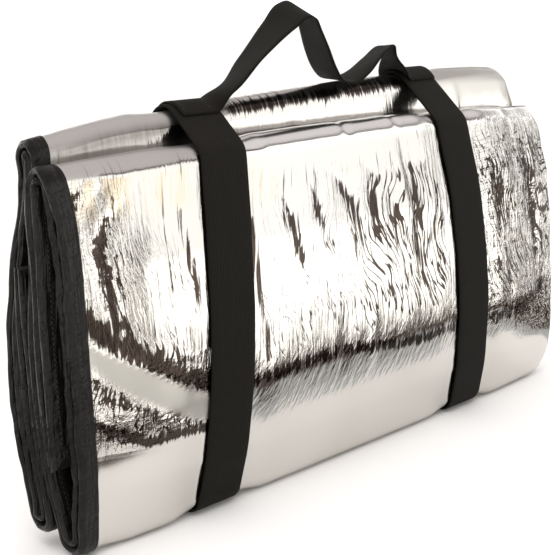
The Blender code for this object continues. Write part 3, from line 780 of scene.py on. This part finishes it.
# Areas of the foil, each a product of ramps. A ramp is 0 at its start and 1 so much further on,
# or further back if that is negative. It goes by x or z, or by hem: distance from a bound edge,
# strip: from the smooth strip, or crest and flap: distance below the top of each.
AREAS = {
    # name: ((goes by, starts at, is full after), ...)
    "off_hem": (("hem", 0.014, 0.012),),
    "creased": (("z", 0.062, 0.030),),
    "crinkled": (("z", 0.074, 0.040),),
    "off_strip": (("strip", 0.0070, 0.006),),
    "on_strip": (("strip", STRIP_HALF, -0.0022),),
    "slanted": (("z", 0.046, 0.018), ("x", 0.098, 0.020), ("strip", 0.0070, 0.006)),
    "patch": (("x", 0.112, -0.020), ("z", 0.066, 0.012), ("strip", STRIP_HALF, 0.004)),
    "clean_dip": (("x", 0.125, 0.020), ("x", 0.310, -0.060)),
    "ridge": (("z", 0.248, 0.010),),
    "middle": (("x", 0.135, 0.030), ("x", 0.365, -0.030)),
    "wing": (("x", 0.130, -0.020),),
    "wing_crinkle": (("crest", 0.0085, 0.003),),
    "wing_glint": (("crest", 0.0150, 0.003),),
    "crossed": (("x", 0.368, 0.018), ("z", 0.252, -0.020)),
    "corner": (("x", 0.052, -0.022), ("z", 0.150, 0.030), ("z", 0.248, -0.008)),
    "seamed": (("z", 0.096, 0.016), ("strip", 0.0070, 0.006)),
    "seamed_right": (("z", 0.232, -0.024),),
    "seamed_all": (("z", 0.226, -0.030),),
    "seamed_less": (("z", 0.120, 0.030),),
    "cross_lower": (("x", 0.415, 0.045),),
    "rub_lower": (("x", 0.365, 0.030),),
    "rubbed": (("z", 0.246, 0.008),),
    # the painted highlight along the flap's top
    "bright": (("x", 0.128, 0.008), ("flap", 0.0150, -0.006)),
    "glint_left": (("x", 0.112, -0.040), ("z", 0.212, 0.016)),
    "glint_right": (("x", 0.128, 0.006), ("x", 0.175, -0.025), ("z", 0.206, 0.012),
                    ("z", 0.240, -0.010)),
}
PATCH_TOP = 0.125
GLINT_TOP = 0.242
CLEAN_TOP = 0.240  # the crinkle fades out above this height
CLEAN_FADE = 0.013
CLEAN_DIP = 0.016  # and so much lower between the straps
CROSS_FROM, CROSS_DROP, CROSS_OVER = 0.062, 0.024, 0.026  # crossed creases start at this height
SEAMS_LOW, SEAMS_LESS = 0.66, 0.14  # how crowded the fine creases are low down, and less above
FLAP_RUB = 0.009  # the flap's top is rubbed so far down
CREST_RUB, CREST_RUB_MORE, RUB_FADE = 0.0100, 0.0065, 0.003  # and the crest's, further at right


def front_creases(x, z, u, front):
    """Height of the creases, and how much painted shade the deep ones get."""
    height, painted_shade = np.zeros(x.shape), np.zeros(x.shape)
    for width, rise_by, line in CREASES:
        far, along = line_distance(x, z, line)
        slim = CREASE_ENDS + (1.0 - CREASE_ENDS) * np.sin(math.pi * along) ** 0.7
        shape = np.where(front, hump(far, 0.0, width * slim), 0.0)
        height += rise_by * slim * shape
        if rise_by < SHADED_FROM:
            painted_shade = np.maximum(painted_shade, SHADE_OF_CREASE * slim * shape ** 1.5)
    rng = np.random.default_rng(7)
    for _ in range(RIPPLES):
        u0, z0 = rng.uniform(0.02, 1.0), rng.uniform(0.075, 0.235)
        long, width = rng.uniform(0.015, 0.055), rng.uniform(0.0030, 0.0070)
        size, slope = rng.normal(0.0, 0.0006), rng.normal(-0.06, 0.10)
        bend = rng.normal(0.0, 3.0)
        off = u - u0 - slope * (z - z0) - bend * (z - z0) ** 2
        height += size * np.exp(-(off / width) ** 2 - ((z - z0) / long) ** 4)
    return height, painted_shade


def sheet_relief(points, cloth, parts):
    """Height of the creases, and the marks: how crinkled, crossed and so on the foil is, and where
    shade, dark reflections, glints and a highlight are painted into its colour.
    """
    placed = lean(points)
    x, z, u = placed[..., 0], placed[..., 2], cloth[..., 0]
    part = np.array(parts)[:, None]
    second = np.arange(points.shape[1])[None, :] >= points.shape[1] // 2
    front = np.isin(part, ("front", "flap")) & second
    crest_front = np.isin(part, ("crest", "second")) & ~second
    strip, along = line_distance(x, z, SMOOTH_STRIP)
    strip = np.where(front, strip + STRIP_NARROWS * fall(along, 0.0, STRIP_EASE), OFF_FRONT)
    flap, crest = (table(CRESTS, x, column) - z for column in (1, 2))
    goes_by = {"x": x, "z": z, "strip": strip, "crest": crest, "flap": flap,
               "hem": np.minimum(u, CLOTH_END - u)}
    area = {name: math.prod(rise(goes_by[by], start, over) for by, start, over in ramps)
            for name, ramps in AREAS.items()}
    calm = (1.0 - near_strap(points[..., 0])) * area["off_hem"]
    height, painted_shade = front_creases(x, z, u, front)
    ridge = crest_front * area["ridge"]
    middle, wing = area["middle"], ridge * area["wing"]
    patch = front * area["patch"] * (z < PATCH_TOP)
    # The smooth strip gets a painted pale reflection in its colour, no painted shade, and more
    # roughness.
    painted_reflection_strip = area["on_strip"] * (x < STRIP_END)
    clean = CLEAN_TOP - CLEAN_DIP * area["clean_dip"]
    crinkle = np.maximum(area["crinkled"], patch) * area["off_strip"] * fall(z, clean, CLEAN_FADE)
    crinkle = np.maximum.reduce([crinkle, ridge * (0.05 + 0.50 * middle),
                                 0.50 * wing * area["wing_crinkle"]])
    cross_from = CROSS_FROM - CROSS_DROP * area["cross_lower"]
    cross = np.maximum.reduce([area["crossed"] * rise(z, cross_from, CROSS_OVER), 0.95 * patch,
                               0.62 * front * area["corner"]])
    right = rise(x - 0.25 * (z - 0.13), 0.205, 0.045) * area["seamed_right"]
    dense = np.maximum(right, (SEAMS_LOW - SEAMS_LESS * area["seamed_less"]) * area["seamed_all"])
    # A painted highlight along the flap's top, right of the left strap, where the foil is also
    # smoother.
    bright = front * area["bright"]
    crest_rub = area["rubbed"] * (1.0 - 0.55 * middle) * ~front * fall(
        crest, CREST_RUB + CREST_RUB_MORE * area["rub_lower"], RUB_FADE)
    rubbed = np.maximum(crest_rub, front * (flap < FLAP_RUB)) * (1.0 - 0.60 * bright)
    # Where warm glints are painted into the colour: at the upper left, right of the left strap, and
    # below the crest's left top.
    glint = np.maximum.reduce([front * area["glint_left"] * (z < GLINT_TOP),
                               0.60 * front * area["glint_right"], wing * area["wing_glint"]])
    for strength, width, line in PAINTED_SHADE_BANDS:
        far, _ = line_distance(x, z, line)
        painted_shade = np.maximum(painted_shade, front * strength * hump(far, 0.0, width))
    # No painted shade on the smooth strip, and a painted dark reflection along the crest below its
    # top.
    painted_shade = np.maximum(painted_shade * (1.0 - painted_reflection_strip), 0.62 * ridge * middle * hump(crest, 0.0085, 0.0055))
    return height * calm * area["creased"], {
        "bright": bright, "crinkle": crinkle, "cross": cross,
        "dense": front * calm * area["seamed"] * dense, "glint": glint,
        "low": hump(z, 0.080, 0.024) * area["slanted"], "rubbed": np.maximum(rubbed, painted_reflection_strip),
        # painted shade under the crest's top, painted shade and dark reflections, and the smooth
        # strip's painted pale reflection
        "shade": wing * hump(crest, 0.0130, 0.0042), "painted_shade": painted_shade, "painted_reflection_strip": painted_reflection_strip}


def make_tape(points, faces, thick, cloth):
    """One tape round all four edges of the sheet, folded over the edge, with mitred corners."""
    rows, cols, _ = points.shape
    near = THICK_EDGE / 2.0 + TAPE_GAP
    far = near + TAPE_THICK
    rim = ([(i, 0) for i in range(rows)] + [(rows - 1, j) for j in range(1, cols)]
           + [(i, cols - 1) for i in range(rows - 2, -1, -1)]
           + [(0, j) for j in range(cols - 2, 0, -1)])
    # Distance in from the edge, and distance off the middle surface.
    outside = [(TAPE_FACE, far - 0.0004), (TAPE_FACE - 0.0006, far),
               (TAPE_FACE * 0.78, far - 0.00022), (TAPE_FACE * 0.5, far + 0.00012),
               (TAPE_FACE * 0.2, far), (0.0, far)]
    bow = [(-near * 0.55, far * 0.70), (-far * 0.75, far * 0.34), (-far * 0.85, 0.0)]
    half = outside + bow
    profile = half + [(distance, -off) for distance, off in half[-2::-1]]
    inside = [(TAPE_FACE, -near), (0.0, -near * 0.98), (-TAPE_GAP, 0.0), (0.0, near * 0.98),
              (TAPE_FACE, near)]
    across = walked(profile)
    across = list(across - across[-1] / 2.0) + [0.0] * len(inside)
    profile = profile + inside
    rng = np.random.default_rng(3)

    def unevenness(size, wide):
        """Smooth seeded noise round the closed rim."""
        blur = np.hanning(wide + 2)[1:-1]
        noise = rng.normal(0.0, 1.0, len(rim))
        noise = np.concatenate([noise[-wide:], noise, noise[:wide]])
        return size * np.convolve(noise, blur / np.sqrt(np.sum(blur ** 2)), "same")[wide:-wide]

    pucker = np.maximum(unevenness(0.00020, 3) + unevenness(0.00030, 7), -0.0001)
    sway = unevenness(0.00060, 15) + unevenness(0.00035, 5)
    sway = np.clip(sway + 0.0009, 0.0, 0.0026)
    verts, uvs, walk = [], [], 0.0
    before = points[rim[-1]]
    for k, (i, j) in enumerate(rim):
        down = 1 if i == 0 else -1 if i == rows - 1 else 0
        side = 1 if j == 0 else -1 if j == cols - 1 else 0
        here, face = points[i, j], faces[i, j]
        along = (points[i + down, j] - here) / EDGE_CELL if down else np.zeros(3)
        inward = (points[i, j + side] - here) / EDGE_CELL if side else np.zeros(3)
        turn = (faces[i + down, j + side] - face) / EDGE_CELL
        walk += float(np.linalg.norm(here - before))
        before = here
        for (distance, off), place in zip(profile, across):
            off = off + math.copysign(pucker[k], off) * (abs(off) > near)
            reach = distance - sway[k] * (distance < TAPE_FACE * 0.3)
            verts.append(here + (along + inward) * reach + (face + turn * max(distance, 0.0)) * off)
            uvs.append((walk, place))
    quads = band_faces(len(rim), len(profile))
    verts = lean(verts)
    verts[:, 2] = np.maximum(verts[:, 2], 0.0001)
    return make_piece("edge_tape", verts, quads, [tape_finish()], uvs)


STRAP_STEP = 0.004  # length of a strap's faces
STRAP_MARGIN = 0.0025  # it clears the sheet so far beyond its own width
STRAP_CORNER = 0.0012  # corners of its taut line that are closer than this are one
STRAP_WANDER = 0.0005  # how far it wanders to the sides, above the underside
WANDER_FROM = 0.012


def strap_line(verts, centre, clear):
    """A taut line round the bundle at one strap, a clear distance off, as (y, z) points."""
    under = verts[np.abs(verts[:, 0] - centre) < WEB_WIDTH / 2.0 + STRAP_MARGIN]
    angles = np.linspace(0.0, 2.0 * math.pi, 96, endpoint=False)
    ways = np.stack([np.cos(angles), np.sin(angles)], axis=1)
    reach = np.max(ways @ under[:, 1:].round(6).T, axis=1) + clear
    line = []
    for k in range(len(ways)):
        n = (k + 1) % len(ways)
        corner = np.linalg.solve(np.array([ways[k], ways[n]]), [reach[k], reach[n]])
        if not line or np.linalg.norm(corner - line[-1]) > STRAP_CORNER:
            line.append(corner)
    if np.linalg.norm(line[0] - line[-1]) < STRAP_CORNER:
        line.pop()
    return np.array(line)


def refine(line, step):
    """A closed line's points, closer together, with its long straights kept straight."""
    out = []
    for a, b in zip(line, np.roll(line, -1, axis=0)):
        count = max(1, int(round(np.linalg.norm(b - a) / step)))
        out += [a + (b - a) * n / count for n in range(count)]
    return np.array(out)


def web_ring(thick):
    """The webbing's section: shares of its width and distances off, with soft selvedges."""
    top = [(-0.5, 0.5), (-0.492, 0.85), (-0.465, 1.0), (-0.30, 0.97), (-0.15, 1.0), (0.0, 0.98),
           (0.15, 1.0), (0.30, 0.97), (0.465, 1.0), (0.492, 0.85), (0.5, 0.5)]
    low = [(0.492, 0.15), (0.465, 0.0), (-0.465, 0.0), (-0.492, 0.15)]
    return [(share, off * thick) for share, off in top + low]


def make_strap(name, verts, material):
    """A webbing loop drawn tight round the bundle."""
    centre = STRAPS[name]
    taut = strap_line(verts, centre, WEB_GAP)
    line = refine(taut, STRAP_STEP)
    outward = -normals(line, closed=True)
    ring = web_ring(WEB_THICK)
    rng = np.random.default_rng(len(name))
    wave = np.convolve(rng.normal(0.0, 1.0, len(line) + 24), np.hanning(25) / 12.0, "valid")
    points, uvs = [], []
    for (y, z), (oy, oz), shift, walk in zip(line, outward, wave, walked(line)):
        middle = centre + STRAP_WANDER * shift * (z > WANDER_FROM)
        for share, off in ring:
            points.append((middle + share * WEB_WIDTH, y + oy * off, z + oz * off))
            uvs.append((walk, share * WEB_WIDTH))
    quads = band_faces(len(line), len(ring))
    piece = make_piece(name + "_web", lean(points), quads, [material], uvs)
    return piece, (taut, -normals(taut, closed=True))


def strap_top(strap, clear):
    """The strap's upper outline a clear distance off: a function of the distance from its top."""
    line, outward = strap
    over = line + outward * (WEB_THICK + clear)
    over = np.roll(over, -int(np.argmin(over[:, 1])), axis=0)
    path = walked(over)
    top = path[int(np.argmax(over[:, 1]))]

    def at(v):
        return np.array([np.interp(top - v, path, over[:, k]) for k in (0, 1)])

    return at


def spline(rows, steps):
    """A smooth line through rows of numbers, with the same number of steps in each span."""
    rows = np.array(rows, dtype=float)
    knots = walked(rows[:, :3])
    slopes = np.gradient(rows, knots, axis=0)
    out = []
    for k in range(len(rows) - 1):
        span = knots[k + 1] - knots[k]
        for n in range(steps):
            t = n / steps
            out.append((2 * t ** 3 - 3 * t ** 2 + 1) * rows[k]
                       + (t ** 3 - 2 * t ** 2 + t) * span * slopes[k]
                       + (3 * t ** 2 - 2 * t ** 3) * rows[k + 1]
                       + (t ** 3 - t ** 2) * span * slopes[k + 1])
    return np.array(out + [rows[-1]])


SEWN_ROWS = (0.004, 0.025)  # the handle's rows of stitches, from each of its ends


def make_handle(left, right):
    """One webbing from strap to strap: sewn down over both, and standing up in two arches."""
    seats = [strap_top(strap, SEWN_GAP + HANDLE_THICK / 2.0)(0.0) for strap in (left, right)]
    rows = []
    for k, (x, y, z, *rest) in enumerate(HANDLE):
        seat = seats[0] if k < len(HANDLE) / 2 else seats[1]
        rows.append((x, y, z, *rest) if y else (x, seat[0], seat[1] + z, *rest))
    line = spline(rows, 8)
    steps = walked(line[:, :3])
    heading = np.gradient(line[:, :3], steps, axis=0)
    heading /= np.linalg.norm(heading, axis=1)[:, None]
    across = np.linspace(-0.5, 0.5, 13)
    ring = [(s, 1.0 - 0.35 * (abs(s) > 0.49)) for s in across] + [
        (s, -1.0 + 0.35 * (abs(s) > 0.49)) for s in across[::-1]]
    verts, uvs = [], []
    for k, (row, along) in enumerate(zip(line, heading)):
        x, free, curl = row[0], row[3], row[6]
        turn, tilt = math.radians(row[4]), math.radians(row[5])
        strap = left if k < len(line) / 2 else right
        width = np.array([math.sin(turn) * math.cos(tilt), math.cos(turn) * math.cos(tilt),
                          math.sin(tilt)])
        upward = np.cross(along, width)
        upward /= np.linalg.norm(upward)
        for share, side in ring:
            v = -share * WEB_WIDTH
            off = side * HANDLE_THICK / 2.0 - curl * v * v / 2.0
            hung = row[:3] + width * v + upward * off
            clear = SEWN_GAP + HANDLE_THICK * (1.0 + side) / 2.0
            seated = np.array([x, *strap_top(strap, clear)(v)])
            verts.append(seated + (hung - seated) * float(smooth(free)))
            uvs.append((steps[k], v))
    size, count = len(ring), len(line)
    quads = [tuple(range(size)), tuple(range((count - 1) * size, count * size))]
    quads += band_faces(count, size, closed=False)
    total = float(steps[-1])
    sewn = webbing_finish("handle_webbing",
                          (*SEWN_ROWS, *(total - row for row in SEWN_ROWS[::-1])))
    return make_piece("carry_handle", verts, quads, [sewn], uvs)


# ---- stage --------------------
BUNDLE_HALF = np.array((0.26, 0.045))  # the oblong that the rings run round
RING_STEP = 0.013  # distance between a ring's points
CARD_HEIGHT = 0.0012  # the topmost ring, clear of the floor
CARD_STEP = 0.0002  # each next ring lies so much lower
EVERYWHERE = -9.0  # a place further left than any
FLAG_FROM, FLAG_TO, FLAG_TOP = 0.42, 1.3, 0.70  # along the floor, and how high it stands
# Where the dark strips stand: their middles, in degrees from the front towards the right end,
# and their widths.
DARK_WAYS = ((350, 8), (76, 16), (120, 14), (165, 12), (205, 14), (250, 12), (290, 16), (335, 12))
FLOOR_HALF = 30.0
FLOOR_DROP = 0.0004  # the floor lies this far under the surface
SKY = (
    # sine of the height above the horizon, colour
    (0.00, (1.0, 1.0, 1.0)),
    (0.42, (1.0, 0.985, 0.96)),
    (0.47, (0.035, 0.028, 0.024)),
    (0.53, (0.050, 0.040, 0.036)),
    (0.59, (0.44, 0.415, 0.42)),
    (1.00, (0.46, 0.435, 0.44)),
)
SKY_GLOW = 1.6
OVERHEAD_AT, OVERHEAD_TO = (-0.3, -0.4, 1.8), (0.0, 0.0, 0.1)
CAMERA_WAY = (-41.876, 13.541, -1.9666)  # degrees: round from the front, up, and its roll
CAMERA_AT = (-0.3257, -0.5467, 0.3343)  # in the sheet's own place
FOCAL_PIXELS, PHOTO_PIXELS = 1079.0, 555.0
SENSOR = 36.0


def plain_material(name, colour, glow=0.0):
    plain = Finish(name, Roughness=0.9, Specular_IOR_Level=0.0)
    if glow:
        return plain.finish(Base_Color=(0.0, 0.0, 0.0, 1.0), Emission_Color=(*colour, 1.0),
                            Emission_Strength=glow)
    return plain.finish(Base_Color=(*colour, 1.0))


def stage_mesh(name, verts, quads, material, only_reflected=True):
    """A piece of the stage. Most show nowhere but in the foil's reflections."""
    mesh = bpy.data.meshes.new(name)
    mesh.from_pydata(verts, [], quads)
    mesh.materials.append(material)
    piece = bpy.data.objects.new(name, mesh)
    bpy.context.scene.collection.objects.link(piece)
    if only_reflected:
        piece.visible_camera = piece.visible_diffuse = piece.visible_shadow = False
        piece.visible_transmission = False
    return piece


def card(name, inner, outer, height, material, ragged=0.0, front_from=EVERYWHERE):
    """A flat ring round the bundle. On the front's side it starts at front_from along X."""
    rng = np.random.default_rng(5)

    def loop(off, ragged):
        """A rounded oblong so far off the bundle."""
        corners = []
        for corner, (right, back) in enumerate(((1, -1), (1, 1), (-1, 1), (-1, -1))):
            cx, cy = BUNDLE_HALF * (right, back)
            turns = math.pi / 2.0 * (corner - 1 + np.linspace(0.0, 1.0, 9))
            corners += [(cx + math.cos(a) * off, cy + math.sin(a) * off) for a in turns]
        points = []
        for a, b in zip(corners, corners[1:] + corners[:1]):
            a, b = np.array(a), np.array(b)
            count = max(1, int(np.linalg.norm(b - a) / RING_STEP))
            points += [a + (b - a) * n / count for n in range(count)]
        out = []
        for p in points:
            away = p - np.clip(p, -BUNDLE_HALF, BUNDLE_HALF)
            shift = away / np.linalg.norm(away) * rng.normal(0.0, ragged) if ragged else 0.0
            out.append((*(p + shift), height))
        return out

    inside, outside = loop(inner, 0.0), loop(outer, ragged)
    count = len(outside)
    verts = [inside[int(k * len(inside) / count)] for k in range(count)] + outside
    quads = [(k, (k + 1) % count, count + (k + 1) % count, count + k) for k in range(count)
             if outside[k][1] > 0.0 or outside[k][0] > front_from]
    stage_mesh(name, verts, quads, material)


def flag(name, centre, width, material):
    """A dark strip that runs out along the floor and up, between two bright fields."""
    verts = []
    for side in (-0.5, 0.5):
        angle = math.radians(centre + side * width)
        way = Vector((math.sin(angle), -math.cos(angle), 0.0))
        for off, height in ((FLAG_FROM, CARD_HEIGHT), (FLAG_TO, CARD_HEIGHT), (FLAG_TO, FLAG_TOP)):
            verts.append(way * off + Vector((0.0, 0.0, height)))
    stage_mesh(name, verts, [(0, 1, 4, 3), (1, 2, 5, 4)], material)


def make_floor_and_cards():
    """The pale floor, and the rings and strips that give the foil its dark and pale bands."""
    corners = [(x * FLOOR_HALF, y * FLOOR_HALF, 0.0)
               for x, y in ((-1, -1), (1, -1), (1, 1), (-1, 1))]
    floor = stage_mesh("floor", corners, [(0, 1, 2, 3)],
                       plain_material("pale_floor", (0.86, 0.85, 0.835)), only_reflected=False)
    floor.location.z = -FLOOR_DROP
    dark = plain_material("card_dark", (0.048, 0.031, 0.022))
    grey = plain_material("card_grey", (0.40, 0.415, 0.42))
    bright = plain_material("card_bright", (1.0, 0.985, 0.96), glow=2.3)
    card("grey_card", 0.066, 0.100, CARD_HEIGHT, grey, ragged=0.006, front_from=-0.075)
    card("dark_card", 0.096, 0.215, CARD_HEIGHT - CARD_STEP, dark, ragged=0.020)
    card("bright_card", 0.215, 6.0, CARD_HEIGHT - CARD_STEP * 2.0, bright)
    for centre, width in DARK_WAYS:
        flag(f"dark_flag_{centre}", centre, width, dark)


def make_light():
    """A sky that is bright low down and grey overhead, with a dark band between, and two soft
    lights that the foil doesn't reflect."""
    world = bpy.context.scene.world or bpy.data.worlds.new("studio")
    bpy.context.scene.world = world
    world.use_nodes = True
    sky = Nodes(world.node_tree)
    sky.tree.nodes.clear()
    way = sky.add("ShaderNodeTexCoord", {}, {}, out="Generated")
    height = sky.add("ShaderNodeSeparateXYZ", {}, {0: way}, out="Z")
    colour = sky.add("ShaderNodeValToRGB", {"stops": SKY}, {0: height})
    glow = sky.add("ShaderNodeBackground", {}, {0: colour, 1: SKY_GLOW})
    sky.add("ShaderNodeOutputWorld", {}, {0: glow})

    soft = bpy.data.lights.new("overhead", "AREA")
    soft.shape, soft.size, soft.size_y, soft.energy = "RECTANGLE", 1.6, 1.6, 14.0
    overhead = bpy.data.objects.new("overhead", soft)
    overhead.location = OVERHEAD_AT
    way = Vector(OVERHEAD_TO) - Vector(OVERHEAD_AT)
    overhead.rotation_euler = way.to_track_quat("-Z", "Y").to_euler()
    overhead.visible_camera = False
    wide = bpy.data.lights.new("daylight", "SUN")
    wide.energy, wide.angle = 1.35, math.radians(90.0)
    for lamp in (overhead, bpy.data.objects.new("daylight", wide)):
        lamp.visible_glossy = False
        bpy.context.scene.collection.objects.link(lamp)


def make_camera():
    """The camera of the photograph."""
    turn, height, roll = (math.radians(angle) for angle in CAMERA_WAY)
    back = np.array([math.sin(turn) * math.cos(height), -math.cos(turn) * math.cos(height),
                     math.sin(height)])
    right = np.cross(-back, (0.0, 0.0, 1.0))
    right /= np.linalg.norm(right)
    up = np.cross(right, -back)
    pose = np.eye(4)
    pose[:3, :4] = np.stack([right * math.cos(roll) + up * math.sin(roll),
                             up * math.cos(roll) - right * math.sin(roll),
                             back, np.array(CAMERA_AT) + PLACE], axis=1)
    data = bpy.data.cameras.new("camera")
    data.sensor_width, data.lens = SENSOR, FOCAL_PIXELS / PHOTO_PIXELS * SENSOR
    camera = bpy.data.objects.new("camera", data)
    camera.matrix_world = Matrix(pose.tolist())
    bpy.context.scene.collection.objects.link(camera)
    bpy.context.scene.camera = camera


make_camera()
make_floor_and_cards()
make_light()
bpy.context.scene.view_settings.view_transform = "Standard"

points, faces, thick, cloth, parts = sheet_grid()
creases, marks = sheet_relief(points, cloth, parts)
foil, outer = make_sheet(points, faces, thick, cloth, creases, marks)
tape = make_tape(points, faces, thick, cloth)
outer_points = outer.reshape(-1, 3)
webbing = webbing_finish("webbing")
left, left_line = make_strap("strap_left", outer_points, webbing)
right, right_line = make_strap("strap_right", outer_points, webbing)
handle = make_handle(left_line, right_line)

for piece, node, slot in ((foil, "blanket", "foil_padding"), (tape, "binding", "edge_tape"),
                          (left, "strap_left", "webbing"), (right, "strap_right", "webbing"),
                          (handle, "handle", "webbing")):
    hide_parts(node)
